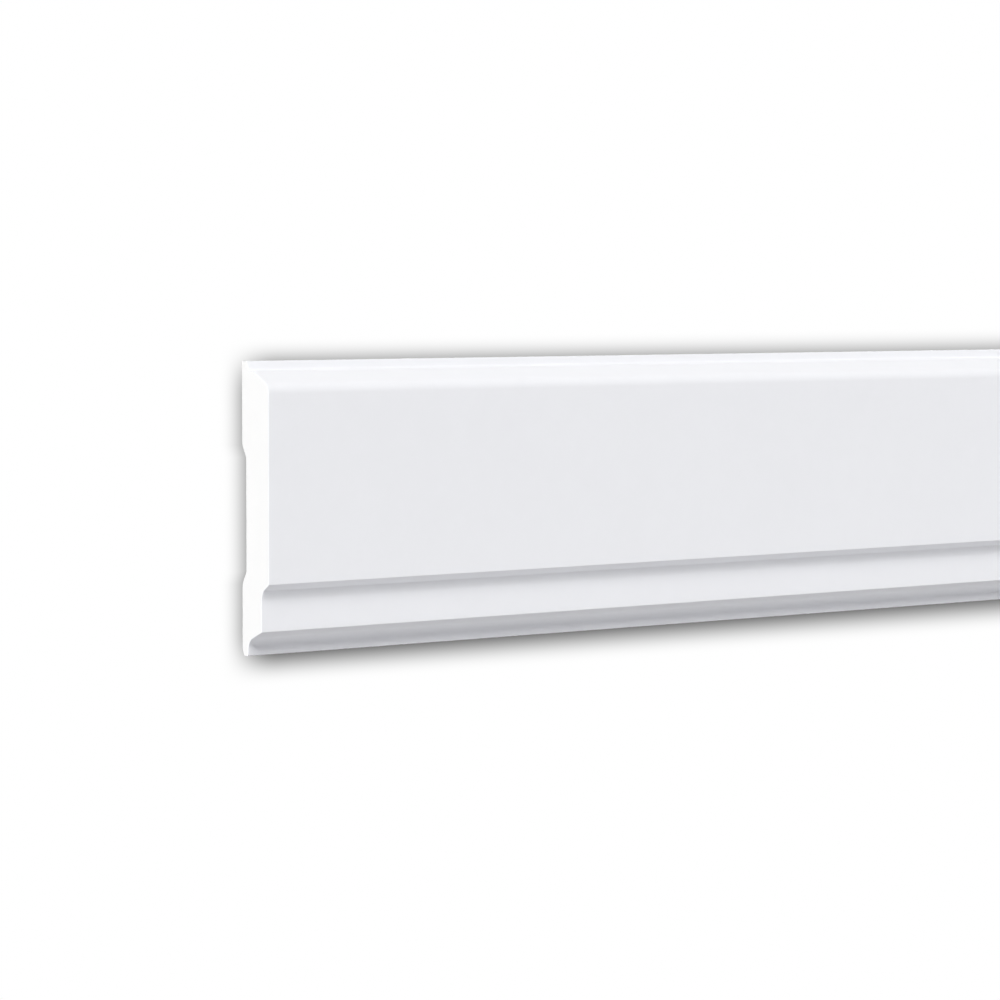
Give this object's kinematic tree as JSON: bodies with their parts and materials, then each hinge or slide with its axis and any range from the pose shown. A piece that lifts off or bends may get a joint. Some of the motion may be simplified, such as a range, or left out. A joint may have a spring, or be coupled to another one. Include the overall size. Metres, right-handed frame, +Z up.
{
  "type": "flexible wall moulding",
  "caption": "Solid white trim strip with a quirked, sloped crown, a wide flat face, a coved step, a lower band and an ogee down to a thin lip, for gluing to a wall.",
  "frame": {"origin": "on the wall plane, level with the bottom edge, in the plane of the near cut end", "axes": "+X along the strip away from the near cut end, +Y into the wall, +Z up as fitted; the face looks to -Y"},
  "size_m": [2, 0.0127, 0.095],
  "materials": {
    "primed_polyurethane": "satin-matte white primer, smooth, with a faint skin texture"
  },
  "bodies": {
    "root": {"moulding": "primed_polyurethane"}
  },
  "joints": []
}
